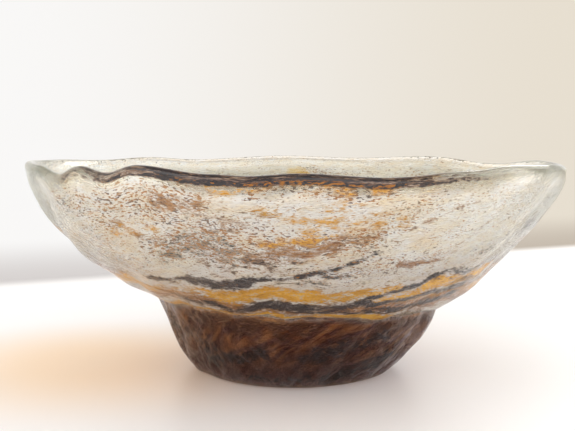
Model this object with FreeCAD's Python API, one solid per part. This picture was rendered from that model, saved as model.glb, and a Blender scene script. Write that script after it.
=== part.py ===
"""A heavy spun glass bowl: a clear, rippled casing with a wavy lip, fused round masses of coloured glass.

Millimetres, +Z up. The origin is the middle of the flat face that the foot rests on, and the front is -Y.
Every surface is first drawn as a plain turned shape, in radius and height. One warp then gives all of them
the same lean, bulge and wavy lip, so that masses which are fused together keep meeting each other.
"""
import FreeCAD, Part
import math
import os

from FreeCAD import Vector

# Overall size
RIM_RADIUS = 125.0
BOWL_HEIGHT = 98.0
LIP_THICKNESS = 4.8

# Foot: a rounded cup that widens up to the crease, where the flare springs out of it
REST_RADIUS = 44.0
CREASE_RADIUS = 68.0
CREASE_HEIGHT = 35.5
FOOT_ROUNDNESS = 0.62
FLARE_START = 1.3
FLARE_TURN = 0.72

# Inside: the wall follows the flare, then dips into a shallow well over the foot
WALL_AT_CREASE = 9.5
WALL_THINNING = 1.2
WELL_START = 0.26
WELL_SHOULDER = 34.0
WELL_FLATNESS = 30.0
FLOOR_THICKNESS = 12.0
FLOOR_DISC_RADIUS = 12.0

# Clear glass outside the coloured lining, which ends bluntly in the wall of the flare
CASING_UNDER_FOOT = 3.0
CASING_AT_FOOT = 3.4
CASING_AT_FLARE = 4.2

# Layers of the lining, parted by wavy levels: the brown cup ends this far over the crease, and each layer
# above it is this high
BROWN_OVER_CREASE = 3.1
AMBER_LINE_HEIGHT = 3.2
SMOKE_BAND_HEIGHT = 5.8
AMBER_BAND_HEIGHT = 7.0
SMOKE_EDGE_HEIGHT = 6.0
LEVEL_WAVE = 0.85

# Each layer from the lowest up, as (name, height, waves round its top, phase), under the smoke edge
LAYERS = (
    ("brown_cup", BROWN_OVER_CREASE, 4, 0.5), ("amber_line", AMBER_LINE_HEIGHT, 5, 1.9),
    ("smoke_band", SMOKE_BAND_HEIGHT, 3, 4.1), ("amber_band", AMBER_BAND_HEIGHT, 4, 2.8),
)

# Hand-made unevenness: the crease is high on the left and low on the right, where the foot bulges
CREASE_TILT = 3.2
CREASE_TILT_REACH = 20.0
FOOT_BULGE = 2.4
LIP_WAVE_REACH = 30.0
LIP_LOBES = 3
LIP_LOBE_SIZE = 0.7

# The lip's crests and dips, as (degrees round from +X, rise): the front half runs from -180 to 0
LIP_WAVES = (
    (-164, 1.9), (-150, 1.2), (-139, -1.7), (-132, 1.7), (-125, -0.4), (-118, 2.6), (-104, -0.3),
    (-98, -0.9), (-90, 0.1), (-74, -1.6), (-58, 0.3), (-47, 1.9), (-34, 1.5), (-14, -0.2), (8, 0.6),
    (29, -2.1), (50, 0.9), (72, -0.6), (92, 0.5), (117, -1.4), (133, 0.4), (147, -0.5), (170, 0.9),
)

# Swirling ridges of the outside, as (height, waves round the bowl, length of one wave up the wall, phase)
RIPPLES = ((0.50, 9, 88.0, 0.4), (0.34, 14, -62.0, 1.3), (0.42, 5, 150.0, 2.2), (0.26, 23, -40.0, 0.9))
RIPPLE_FADE = 7.0

# Flecks of colour inlaid in the inside of the flare, as (degrees round, share of the way up the flare,
# half length, half width, turn in degrees)
FLECK_DEPTH = 2.0
AMBER_FLECKS = (
    (-118, 0.80, 8.0, 3.0, -35), (-128, 0.66, 9.0, 3.6, 30), (-104, 0.83, 6.0, 3.0, -20),
    (-98, 0.67, 7.0, 3.2, 25), (-79, 0.72, 10.0, 4.0, 55), (-70, 0.86, 9.0, 3.4, 10),
    (-62, 0.70, 9.0, 3.2, 35), (-36, 0.68, 8.0, 3.0, 40), (8, 0.74, 9.0, 3.4, 30),
    (48, 0.68, 8.0, 3.2, -25), (86, 0.78, 10.0, 3.6, 35), (132, 0.70, 9.0, 3.4, -30),
    (172, 0.76, 8.0, 3.2, 30),
)
SMOKE_FLECKS = (
    (-110, 0.63, 9.0, 3.0, 8), (-90, 0.62, 7.0, 2.8, 14), (-74, 0.62, 6.0, 2.6, 20),
    (24, 0.63, 9.0, 2.8, 16), (104, 0.63, 9.0, 2.8, 12), (150, 0.63, 8.0, 2.6, 18),
)

# How closely the surfaces are drawn
STATIONS_ROUND = 90
SECTORS = 3
SEAM_ANGLE = 90.0
FOOT_STATIONS = 8
FLARE_STATIONS = 15
FLARE_CROWDING = 1.5
LIP_STATIONS = 6
WELL_STATIONS = 9

# Room that a cutting shape takes beyond the glass, the step that a slope is measured over, and how often a
# range is halved to find a place
CUT_ROOM = 20.0
SLOPE_STEP = 1e-4
HALVINGS = 30

LIP_RADIUS = LIP_THICKNESS / 2
FLARE_TOP = BOWL_HEIGHT - LIP_RADIUS


def limited(share):
    return max(0.0, min(1.0, share))


def smooth_step(share):
    share = limited(share)
    return share * share * (3 - 2 * share)


def lip_rise(angle):
    """Height of the lip above its mean, joining crests and dips with half cosines."""
    ahead = min(LIP_WAVES, key=lambda wave: (wave[0] - angle) % 360)
    behind = min(LIP_WAVES, key=lambda wave: (angle - wave[0]) % 360)
    span = (ahead[0] - behind[0]) % 360
    if span == 0:
        return ahead[1]
    share = ((angle - behind[0]) % 360) / span
    return behind[1] + (ahead[1] - behind[1]) * (1 - math.cos(math.pi * share)) / 2


def ripple(angle, along):
    """Outward swell of the clear glass at a distance along the outer profile."""
    turn = math.radians(angle)
    return sum(
        height * math.cos(waves * turn + 2 * math.pi * along / length + phase)
        for height, waves, length, phase in RIPPLES
    )


def warp(radius, height, angle):
    """Moves a point of the turned shape to its place in the leaning, wavy one.

    Nothing moves on the axis or at the height of the casing under the foot, so the foot stays flat.
    """
    turn = math.radians(angle)
    off_axis = limited((radius - FLOOR_DISC_RADIUS) / (CREASE_RADIUS - FLOOR_DISC_RADIUS))
    up_foot = (height - CASING_UNDER_FOOT) / CREASE_HEIGHT
    near_crease = math.exp(-(((height - CREASE_HEIGHT) / CREASE_TILT_REACH) ** 2)) * smooth_step(up_foot)
    near_lip = smooth_step((height - (FLARE_TOP - LIP_WAVE_REACH)) / LIP_WAVE_REACH)
    lift = near_lip * lip_rise(angle) - near_crease * CREASE_TILT * math.cos(turn)
    bulge = FOOT_BULGE * math.cos(turn) * math.sin(math.pi * limited(up_foot))
    lobes = near_lip * LIP_LOBE_SIZE * math.cos(LIP_LOBES * turn)
    radius += off_axis * (bulge + lobes)
    return Vector(radius * math.cos(turn), radius * math.sin(turn), height + off_axis * lift)


def foot_point(share):
    """Outside of the foot, from the rest face at 0 to the crease at 1."""
    radius = REST_RADIUS + (CREASE_RADIUS - REST_RADIUS) * share
    return radius, CREASE_HEIGHT * share ** (1 / FOOT_ROUNDNESS)


def flare_point(share):
    """Outside of the flare, from the crease at 0 to the lip at 1."""
    rise = 1 - (1 - share ** FLARE_START) ** FLARE_TURN
    radius = CREASE_RADIUS + (RIM_RADIUS - CREASE_RADIUS) * share
    return radius, CREASE_HEIGHT + (FLARE_TOP - CREASE_HEIGHT) * rise


def direction(curve, share):
    """Which way a curve runs, as one step in radius and height."""
    ahead = curve(limited(share + SLOPE_STEP))
    behind = curve(limited(share - SLOPE_STEP))
    along = (ahead[0] - behind[0], ahead[1] - behind[1])
    return along[0] / math.hypot(*along), along[1] / math.hypot(*along)


def inward(curve, share, depth):
    """A point of a curve moved to its inner side, square to the curve, which runs up and out."""
    radius, height = curve(share)
    out, up = direction(curve, share)
    return radius - depth * up, height + depth * out


def wall_thickness(share):
    return LIP_THICKNESS + (WALL_AT_CREASE - LIP_THICKNESS) * (1 - share) ** WALL_THINNING


def inner_wall_point(share):
    return inward(flare_point, share, wall_thickness(share))


def flare_shares(first):
    """Shares of the flare from the first to 1, closer together towards the lip, where it turns upright."""
    left = [(1 - k / FLARE_STATIONS) ** FLARE_CROWDING for k in range(FLARE_STATIONS + 1)]
    return [1 - (1 - first) * share for share in left]


def outer_foot():
    return [foot_point(k / FOOT_STATIONS) for k in range(FOOT_STATIONS)] + [flare_point(0.0)]


def outer_flare():
    return [flare_point(share) for share in flare_shares(0.0)[1:]]


def lip():
    """Half round over the lip, without its two ends, which belong to the flare and the inner wall."""
    turns = [math.pi * k / LIP_STATIONS for k in range(1, LIP_STATIONS)]
    centre = RIM_RADIUS - LIP_RADIUS
    return [(centre + LIP_RADIUS * math.cos(a), FLARE_TOP + LIP_RADIUS * math.sin(a)) for a in turns]


def inner_wall(depth=0.0):
    """The inside face from the lip down to the well, or a face that deep in the glass behind it."""
    shares = reversed(flare_shares(WELL_START))
    return [inward(flare_point, share, wall_thickness(share) - depth) for share in shares]


def well():
    """From the inner wall down to the flat middle of the floor, as one cubic curve."""
    top = inner_wall_point(WELL_START)
    out, up = direction(inner_wall_point, WELL_START)
    shoulder = (top[0] - WELL_SHOULDER * out, top[1] - WELL_SHOULDER * up)
    end = (FLOOR_DISC_RADIUS, FLOOR_THICKNESS)
    flat = (end[0] + WELL_FLATNESS, end[1])
    points = []
    for k in range(1, WELL_STATIONS + 1):
        t = k / WELL_STATIONS
        weights = ((1 - t) ** 3, 3 * t * (1 - t) ** 2, 3 * t * t * (1 - t), t ** 3)
        corners = (top, shoulder, flat, end)
        points.append(tuple(sum(w * corner[axis] for w, corner in zip(weights, corners)) for axis in (0, 1)))
    return points


def angles():
    return [SEAM_ANGLE + 360.0 * k / STATIONS_ROUND for k in range(STATIONS_ROUND)]


def ring(point):
    return [warp(*point, angle) for angle in angles()]


def rippled_rings(profile):
    """Rings of the outside, swollen by the ripples, which die away at the rest face and at the lip."""
    lengths = [0.0]
    for a, b in zip(profile, profile[1:]):
        lengths.append(lengths[-1] + math.hypot(b[0] - a[0], b[1] - a[1]))
    rings = []
    for k, (along, (radius, height)) in enumerate(zip(lengths, profile)):
        before = profile[max(0, k - 1)]
        after = profile[min(len(profile) - 1, k + 1)]
        step = (after[0] - before[0], after[1] - before[1])
        fade = smooth_step(along / RIPPLE_FADE) * smooth_step((lengths[-1] - along) / RIPPLE_FADE)
        scale = fade / math.hypot(*step)
        swells = [(angle, scale * ripple(angle, along)) for angle in angles()]
        rings.append([warp(radius + s * step[1], height - s * step[0], angle) for angle, s in swells])
    return rings


def closed_curve(points):
    curve = Part.BSplineCurve()
    steps = [float(k) for k in range(len(points) + 1)]
    curve.interpolate(Points=points, PeriodicFlag=True, Parameters=steps)
    return curve


def sectors():
    """The parameter ranges of the faces or edges that go once round."""
    size = STATIONS_ROUND / SECTORS
    return [(k * size, (k + 1) * size) for k in range(SECTORS)]


def divided(surface, limits):
    """The faces of a surface, one for each sector round and each step between the limits along it."""
    faces = []
    for around in sectors():
        for along in zip(limits, limits[1:]):
            patch = surface.copy()
            patch.segment(*around, *along)
            faces.append(patch.toShape())
    return faces


def smooth_skin(*bands):
    """Faces of one smooth surface through bands of rings, divided at each band's last ring."""
    rings = [points for band in bands for points in band]
    curves = [closed_curve(points) for points in rings]
    along = [0.0]
    for a, b in zip(rings, rings[1:]):
        along.append(along[-1] + sum(p.distanceToPoint(q) for p, q in zip(a, b)) / len(a))
    columns = []
    for poles in zip(*(curve.getPoles() for curve in curves)):
        column = Part.BSplineCurve()
        column.interpolate(Points=list(poles), PeriodicFlag=False, Parameters=along)
        columns.append(column)
    surface = Part.BSplineSurface()
    surface.buildFromPolesMultsKnots(
        [column.getPoles() for column in columns],
        curves[0].getMultiplicities(), columns[0].getMultiplicities(),
        curves[0].getKnots(), columns[0].getKnots(),
        True, False, curves[0].Degree, columns[0].Degree,
    )
    ends = [sum(len(band) for band in bands[:k + 1]) - 1 for k in range(len(bands))]
    return divided(surface, [along[0]] + [along[end] for end in ends])


def straight_skin(first, second):
    """Faces of straight lines between two rings."""
    curves = [closed_curve(points) for points in (first, second)]
    surface = Part.BSplineSurface()
    surface.buildFromPolesMultsKnots(
        [list(pair) for pair in zip(curves[0].getPoles(), curves[1].getPoles())],
        curves[0].getMultiplicities(), [2, 2], curves[0].getKnots(), [0.0, 1.0],
        True, False, curves[0].Degree, 1,
    )
    return divided(surface, [0.0, 1.0])


def flat_cap(points):
    curve = closed_curve(points)
    return [Part.Face(Part.Wire([curve.toShape(*sector) for sector in sectors()]))]


def solid_of(*skins):
    shell = Part.makeShell([face for skin in skins for face in skin])
    shell.sewShape()
    solid = Part.Solid(shell)
    if solid.Volume < 0:
        solid.reverse()
    return solid


def whole_bowl():
    """All the glass as one solid, before it is divided by colour."""
    foot = outer_foot()
    outside = rippled_rings(foot + outer_flare())
    inside = [[ring(point) for point in points] for points in (lip(), inner_wall(), well())]
    skin = smooth_skin(outside[:len(foot)], outside[len(foot):], *inside)
    return solid_of(skin, flat_cap(outside[0]), flat_cap(inside[-1][-1]))


def lining_end():
    """How far up the flare the lining's outer face runs, as a share, to hold all its layers."""
    top = CREASE_HEIGHT + sum(layer[1] for layer in LAYERS) + SMOKE_EDGE_HEIGHT
    low, high = 0.0, 1.0
    for _ in range(HALVINGS):
        middle = (low + high) / 2
        if inward(flare_point, middle, CASING_AT_FLARE)[1] < top:
            low = middle
        else:
            high = middle
    return low


def lining_tool():
    """Everything inside the lining's outer face, which runs up the foot and along the flare.

    The clear glass outside it is thinner beside the foot than beside the flare.
    """
    last = lining_end()
    flare = []
    for k in range(FOOT_STATIONS + 1):
        share = k / FOOT_STATIONS
        casing = CASING_AT_FOOT + (CASING_AT_FLARE - CASING_AT_FOOT) * smooth_step(share)
        flare.append(inward(flare_point, last * share, casing))
    foot = [inward(foot_point, k / FOOT_STATIONS, CASING_AT_FOOT) for k in range(FOOT_STATIONS)]
    foot = [point for point in foot if CASING_UNDER_FOOT < point[1] < flare[0][1] and point[0] < flare[0][0]]
    heel = (foot[0][0] - (foot[0][1] - CASING_UNDER_FOOT), CASING_UNDER_FOOT)
    end = inward(flare_point, last, wall_thickness(last) + CUT_ROOM)
    middle = (FLOOR_DISC_RADIUS, end[1])
    side = [ring(point) for point in [heel] + foot]
    slope = [ring(point) for point in flare]
    return solid_of(
        smooth_skin(side, slope),
        straight_skin(slope[-1], ring(end)), straight_skin(ring(end), ring(middle)),
        flat_cap(side[0]), flat_cap(ring(middle)),
    )


def layer_tool(top, waves, phase):
    """Everything below a wavy level, whose main waves carry others of half their size."""
    level = []
    for angle in angles():
        turn = math.radians(angle)
        wave = math.sin(waves * turn + phase) + 0.5 * math.sin((2 * waves + 1) * turn)
        level.append(top + LEVEL_WAVE * wave)
    middle = ring((FLOOR_DISC_RADIUS, top))
    inner = [warp(CREASE_RADIUS / 2, *place) for place in zip(level, angles())]
    outer = [warp(RIM_RADIUS + CUT_ROOM, *place) for place in zip(level, angles())]
    below = [Vector(point.x, point.y, -CUT_ROOM) for point in outer]
    return solid_of(
        straight_skin(below, outer), straight_skin(outer, inner), straight_skin(inner, middle),
        flat_cap(below), flat_cap(middle),
    )


def layer_tools():
    """Each layer's name with everything below its top, from the lowest up."""
    top = CREASE_HEIGHT
    tools = []
    for name, height, waves, phase in LAYERS:
        top += height
        tools.append((name, layer_tool(top, waves, phase)))
    return tools


def fleck_layer():
    """The hollow of the flare, grown into the glass by the depth of a fleck."""
    rings = [ring(point) for point in inner_wall(FLECK_DEPTH)[1:]]
    above = [Vector(point.x, point.y, BOWL_HEIGHT + CUT_ROOM) for point in rings[0]]
    middle = ring((FLOOR_DISC_RADIUS, min(point.z for point in rings[-1])))
    return solid_of(
        smooth_skin(rings),
        straight_skin(rings[0], above), straight_skin(rings[-1], middle),
        flat_cap(above), flat_cap(middle),
    )


def fleck_bar(angle, share, half_length, half_width, tilt):
    """An oval bar that crosses the wall, level and outwards, where a fleck lies."""
    radius, height = inner_wall_point(share)
    turn = math.radians(angle)
    lean = math.radians(tilt)
    out = Vector(math.cos(turn), math.sin(turn), 0)
    side = Vector(-math.sin(turn), math.cos(turn), 0)
    start = out * (radius - half_length) + Vector(0, 0, height)
    major = side * math.cos(lean) + Vector(0, 0, math.sin(lean))
    oval = Part.Ellipse(start + major * half_length, start + out.cross(major) * half_width, start)
    return Part.Face(Part.Wire([oval.toShape()])).extrude(out * (2 * half_length + WALL_AT_CREASE))


def inlay(casing, layer, flecks):
    """Takes a set of flecks out of the casing, and gives them with what is left of it."""
    tools = [layer.common(fleck_bar(*fleck)) for fleck in flecks]
    return casing.common(tools), casing.cut(tools)


def export(name, shape):
    solids = shape.Solids
    found = solids[0] if len(solids) == 1 else Part.makeCompound(solids)
    found.exportStep(os.path.join("parts", name + ".step"))
    box = found.optimalBoundingBox()
    print(f"{name}: {len(solids)} solids, {found.Volume / 1000:.2f} ml, valid {found.isValid()}, "
          f"x {box.XMin:.1f} to {box.XMax:.1f}, z {box.ZMin:.2f} to {box.ZMax:.2f}")


def main():
    os.makedirs("parts", exist_ok=True)
    bowl = whole_bowl()
    tool = lining_tool()
    lining = bowl.common(tool)
    casing = bowl.cut(tool)

    masses = {}
    for name, tool in layer_tools():
        masses[name] = lining.common(tool)
        lining = lining.cut(tool)
    masses["smoke_edge"] = lining

    layer = fleck_layer()
    masses["amber_flecks"], casing = inlay(casing, layer, AMBER_FLECKS)
    masses["smoke_flecks"], casing = inlay(casing, layer, SMOKE_FLECKS)
    masses["clear_casing"] = casing

    for name, shape in masses.items():
        export(name, shape)
    total = sum(shape.Volume for shape in masses.values())
    print(f"whole bowl: {bowl.Volume / 1000:.2f} ml, and its masses add up to {total / 1000:.2f} ml")


main()
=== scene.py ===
"""The looks of a heavy art glass bowl: clear rippled glass fused over brown, amber and smoke-grey masses."""
import math
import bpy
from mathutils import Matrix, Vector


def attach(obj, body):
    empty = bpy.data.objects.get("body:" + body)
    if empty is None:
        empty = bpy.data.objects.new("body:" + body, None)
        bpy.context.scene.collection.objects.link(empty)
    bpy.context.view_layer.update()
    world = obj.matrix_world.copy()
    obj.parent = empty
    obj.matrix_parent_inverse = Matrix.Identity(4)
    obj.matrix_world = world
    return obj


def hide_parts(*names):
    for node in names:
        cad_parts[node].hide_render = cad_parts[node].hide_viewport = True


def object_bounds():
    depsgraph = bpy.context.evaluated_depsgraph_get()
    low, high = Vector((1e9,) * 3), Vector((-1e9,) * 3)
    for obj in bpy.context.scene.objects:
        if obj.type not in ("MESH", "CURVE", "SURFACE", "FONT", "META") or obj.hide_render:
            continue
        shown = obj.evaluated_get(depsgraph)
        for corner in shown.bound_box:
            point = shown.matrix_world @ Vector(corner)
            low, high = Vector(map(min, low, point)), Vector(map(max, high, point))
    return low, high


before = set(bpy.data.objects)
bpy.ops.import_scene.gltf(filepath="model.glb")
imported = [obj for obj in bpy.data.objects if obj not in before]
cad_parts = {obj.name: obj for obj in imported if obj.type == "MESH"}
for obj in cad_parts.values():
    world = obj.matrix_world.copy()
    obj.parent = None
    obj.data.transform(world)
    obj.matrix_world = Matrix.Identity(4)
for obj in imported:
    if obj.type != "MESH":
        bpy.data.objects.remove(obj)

from types import SimpleNamespace

import bpy
import numpy as np
from mathutils import Vector

CAD_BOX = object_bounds()

# Camera: its distance from the bowl's axis, height, tilt, sideways offset and lens
CAMERA_DISTANCE = 0.4516
CAMERA_HEIGHT = 0.1121
CAMERA_TILT = math.radians(5.0)
CAMERA_OFFSET = -0.0031
CAMERA_LENS = 58.9
CAMERA_SENSOR = 36.0
CAMERA_NEAREST = 0.01


def add_camera():
    camera = bpy.data.objects.new("camera", bpy.data.cameras.new("camera"))
    bpy.context.collection.objects.link(camera)
    camera.data.lens = CAMERA_LENS
    camera.data.sensor_width = CAMERA_SENSOR
    camera.data.clip_start = CAMERA_NEAREST
    camera.location = (CAMERA_OFFSET, -CAMERA_DISTANCE, CAMERA_HEIGHT)
    camera.rotation_euler = (math.pi / 2 - CAMERA_TILT, 0, 0)
    bpy.context.scene.camera = camera


add_camera()

# The turned shape, in metres, as the solids have it
MILLIMETRE = 0.001
RIM_RADIUS = 0.125
BOWL_HEIGHT = 0.098
LIP_THICKNESS = 0.0048
REST_RADIUS = 0.044
CREASE_RADIUS = 0.068
CREASE_HEIGHT = 0.0355
FOOT_ROUNDNESS = 0.62
FLARE_START = 1.3
FLARE_TURN = 0.72
WALL_AT_CREASE = 0.0095
WALL_THINNING = 1.2
WELL_START = 0.26
WELL_SHOULDER = 0.034
WELL_FLATNESS = 0.030
FLOOR_THICKNESS = 0.012
FLOOR_DISC_RADIUS = 0.012
CASING_UNDER_FOOT = 0.003
LIP_RADIUS = LIP_THICKNESS / 2
FLARE_TOP = BOWL_HEIGHT - LIP_RADIUS

# The inside lies this far above the cup's own face, so that the two never share a place
INNER_SKIN = 0.0002
INSIDE_FLOOR = FLOOR_THICKNESS + INNER_SKIN

# Hand-made unevenness, as the solids have it. Each wave of the lip is degrees round and millimetres of rise.
CREASE_TILT = 0.0032
CREASE_TILT_REACH = 0.020
FOOT_BULGE = 0.0024
LIP_WAVE_REACH = 0.030
LIP_LOBES = 3
LIP_LOBE_SIZE = 0.0007
LIP_WAVES = (
    (-164, 1.9), (-150, 1.2), (-139, -1.7), (-132, 1.7), (-125, -0.4), (-118, 2.6), (-104, -0.3),
    (-98, -0.9), (-90, 0.1), (-74, -1.6), (-58, 0.3), (-47, 1.9), (-34, 1.5), (-14, -0.2), (8, 0.6),
    (29, -2.1), (50, 0.9), (72, -0.6), (92, 0.5), (117, -1.4), (133, 0.4), (147, -0.5), (170, 0.9),
)

# Ripples of the outside: millimetres high, waves round the bowl, millimetres along the wall, phase
RIPPLES = ((0.50, 9, 88.0, 0.4), (0.34, 14, -62.0, 1.3), (0.42, 5, 150.0, 2.2), (0.26, 23, -40.0, 0.9))
RIPPLE_FADE = 0.007

# Soft random relief: seed, waves, shortest and longest wave, degrees from level and their spread
BROAD_WAVES = (3, 24, (0.016, 0.034), 30, 22)
PIT_WAVES = (5, 40, (0.004, 0.008), -30, 30)
FACET_WAVES = (8, 24, (0.012, 0.022), 20, 40)
BROAD_HEIGHT = 0.00018
PIT_DEPTH = 0.00003
FACET_DEPTH = 0.00030
FACETS_END = 0.030
FACETS_FADE = 0.020

# The radius at which waves and streaks are laid out, and how fast the flare widens as it rises
MEAN_RADIUS = 0.1
FLARE_WIDENING = 0.65

# How finely the glass is modelled
STEPS_ROUND = 560
STEPS_BASE = 8
STEPS_FOOT = 40
STEPS_FLARE = 74
STEPS_LIP = 12
STEPS_INSIDE = 26
STEPS_WELL = 14
CURVE_SAMPLES = 2000
WELL_SAMPLES = 60
BASE_START = 0.004


def smooth_step(share):
    share = np.clip(share, 0.0, 1.0)
    return share * share * (3 - 2 * share)


def round_gap(turn, degrees):
    """Angle round the bowl from a place in degrees, in radians, the shorter way."""
    return (turn - math.radians(degrees) + np.pi) % (2 * np.pi) - np.pi


def lip_rise(degrees):
    """Height of the lip above its mean, joining crests and dips with half cosines."""
    places = np.array([wave[0] for wave in LIP_WAVES], float)
    rises = np.array([wave[1] for wave in LIP_WAVES]) * MILLIMETRE
    degrees = (degrees - places[0]) % 360 + places[0]
    places = np.append(places, places[0] + 360)
    rises = np.append(rises, rises[0])
    behind = np.clip(np.searchsorted(places, degrees, side="right") - 1, 0, len(places) - 2)
    share = (degrees - places[behind]) / (places[behind + 1] - places[behind])
    return rises[behind] + (rises[behind + 1] - rises[behind]) * (1 - np.cos(np.pi * share)) / 2


def warp(radius, height, turn):
    """Places of turned points in the leaning, wavy bowl."""
    off_axis = np.clip((radius - FLOOR_DISC_RADIUS) / (CREASE_RADIUS - FLOOR_DISC_RADIUS), 0, 1)
    up_foot = (height - CASING_UNDER_FOOT) / CREASE_HEIGHT
    near_crease = np.exp(-(((height - CREASE_HEIGHT) / CREASE_TILT_REACH) ** 2)) * smooth_step(up_foot)
    near_lip = smooth_step((height - (FLARE_TOP - LIP_WAVE_REACH)) / LIP_WAVE_REACH)
    lift = near_lip * lip_rise(np.degrees(turn)) - near_crease * CREASE_TILT * np.cos(turn)
    bulge = FOOT_BULGE * np.cos(turn) * np.sin(np.pi * np.clip(up_foot, 0, 1))
    lobes = near_lip * LIP_LOBE_SIZE * np.cos(LIP_LOBES * turn)
    radius = radius + off_axis * (bulge + lobes)
    return np.stack([radius * np.cos(turn), radius * np.sin(turn), height + off_axis * lift], -1)


def foot_point(share):
    """Radius and height on the outside of the foot, from where it rests to the crease."""
    radius = REST_RADIUS + (CREASE_RADIUS - REST_RADIUS) * share
    return np.stack([radius, CREASE_HEIGHT * share ** (1 / FOOT_ROUNDNESS)], -1)


def flare_point(share):
    """Radius and height on the outside of the flare, from the crease to the widest part of the lip."""
    rise = 1 - (1 - np.minimum(share, 1.0) ** FLARE_START) ** FLARE_TURN
    radius = CREASE_RADIUS + (RIM_RADIUS - CREASE_RADIUS) * share
    return np.stack([radius, CREASE_HEIGHT + (FLARE_TOP - CREASE_HEIGHT) * rise], -1)


def direction(curve, share, step=1e-4):
    along = curve(np.clip(share + step, 0, 1)) - curve(np.clip(share - step, 0, 1))
    return along / np.linalg.norm(along, axis=-1, keepdims=True)


def inward(along):
    """The direction into the glass from the outside, square to the direction up the flare."""
    return np.stack([-along[..., 1], along[..., 0]], -1)


def wall_thickness(share):
    """The wall's thickness at a share of the flare, without the round of the lip."""
    return LIP_THICKNESS + (WALL_AT_CREASE - LIP_THICKNESS) * (1 - share) ** WALL_THINNING


def inner_wall_point(share):
    thickness = wall_thickness(share) + INNER_SKIN
    return flare_point(share) + thickness[..., None] * inward(direction(flare_point, share))


def well_points(count):
    """The curve from the inner wall down to the flat middle of the well."""
    start = np.array([WELL_START])
    top = inner_wall_point(start)[0]
    shoulder = top - WELL_SHOULDER * direction(inner_wall_point, start)[0]
    end = np.array([FLOOR_DISC_RADIUS, INSIDE_FLOOR])
    flat = end + np.array([WELL_FLATNESS, 0])
    t = np.linspace(0, 1, count + 1)[1:, None]
    return (1 - t) ** 3 * top + 3 * t * (1 - t) ** 2 * shoulder + 3 * t * t * (1 - t) * flat + t ** 3 * end


def distances(points):
    """How far along a curve each of its points is."""
    return np.append(0, np.cumsum(np.linalg.norm(np.diff(points, axis=0), axis=1)))


def evenly(points, count):
    """The same curve with points at even distances along it."""
    lengths = distances(points)
    places = np.linspace(0, lengths[-1], count + 1)
    return np.stack([np.interp(places, lengths, points[:, axis]) for axis in (0, 1)], -1)


def profile():
    """Radius and height round the whole section, and the slice of it that is the outside below the lip."""
    shares = np.linspace(0, 1, CURVE_SAMPLES)
    base_radius = np.linspace(BASE_START, REST_RADIUS, STEPS_BASE + 1)[:-1]
    base = np.stack([base_radius, np.zeros(STEPS_BASE)], -1)
    foot = evenly(foot_point(shares), STEPS_FOOT)[:-1]
    flare = evenly(flare_point(shares), STEPS_FLARE)
    turn = np.linspace(0, np.pi, STEPS_LIP + 1)[1:-1]
    centre = np.array([RIM_RADIUS - LIP_RADIUS, FLARE_TOP])
    lip = centre + LIP_RADIUS * np.stack([np.cos(turn), np.sin(turn)], -1)
    inside = evenly(inner_wall_point(np.linspace(1, WELL_START, CURVE_SAMPLES)), STEPS_INSIDE)
    well = evenly(np.vstack([inside[-1:], well_points(WELL_SAMPLES)]), STEPS_WELL)[1:]
    middle = np.array([[FLOOR_DISC_RADIUS / 3, INSIDE_FLOOR]])
    points = np.vstack([base, foot, flare, lip, inside, well, middle])
    return points, slice(len(base), len(base) + len(foot) + len(flare))


def waves(seed, count, lengths, slope, spread, turn, along):
    """A soft random relief of many waves, whose crests climb at about the slope, as degrees from level."""
    draw = np.random.default_rng(seed)
    total = np.zeros(np.broadcast(turn, along).shape)
    for _ in range(count):
        length = draw.uniform(*lengths)
        climb = math.radians(slope + draw.normal(0, spread))
        round_waves = round(-math.sin(climb) * 2 * math.pi / length * MEAN_RADIUS)
        phase = draw.uniform(0, 2 * math.pi)
        total += np.cos(round_waves * turn + math.cos(climb) * 2 * math.pi / length * along + phase)
    return total * math.sqrt(2 / count)


def relief(turn, along, total):
    """How far the outside stands out from the turned shape, at each turn and distance along the profile."""
    swell = sum(
        height * MILLIMETRE * np.cos(count * turn + 2 * np.pi * along / (length * MILLIMETRE) + phase)
        for height, count, length, phase in RIPPLES
    )
    broad = BROAD_HEIGHT * waves(*BROAD_WAVES, turn, along)
    pits = PIT_DEPTH * waves(*PIT_WAVES, turn, along)
    on_foot = 1 - smooth_step((along - FACETS_END) / FACETS_FADE)
    facets = FACET_DEPTH * on_foot * np.abs(waves(*FACET_WAVES, turn, along))
    fade = smooth_step(along / RIPPLE_FADE) * smooth_step((total - along) / RIPPLE_FADE)
    return fade * (swell + broad + pits - facets)


def mesh_object(name, points, faces):
    mesh = bpy.data.meshes.new(name)
    mesh.from_pydata(points.tolist(), [], faces)
    mesh.update()
    mesh.polygons.foreach_set("use_smooth", [True] * len(mesh.polygons))
    piece = bpy.data.objects.new(name, mesh)
    bpy.context.collection.objects.link(piece)
    return piece


def body_grid(points, outside, along, turn):
    """Places of the skin, row after row of the profile, then the middles of the underside and the well."""
    tangent = np.gradient(points[outside], axis=0)
    tangent /= np.linalg.norm(tangent, axis=1, keepdims=True)
    out = relief(turn, along[:, None], along[-1])
    radius = np.repeat(points[:, :1], STEPS_ROUND, 1)
    height = np.repeat(points[:, 1:], STEPS_ROUND, 1)
    radius[outside] += out * tangent[:, 1:2]
    height[outside] -= out * tangent[:, 0:1]
    grid = warp(radius, height, turn).reshape(-1, 3)
    grid = np.clip(grid, np.array(CAD_BOX[0]), np.array(CAD_BOX[1]))
    return np.vstack([grid, [[0, 0, 0], [0, 0, INSIDE_FLOOR]]])


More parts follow.
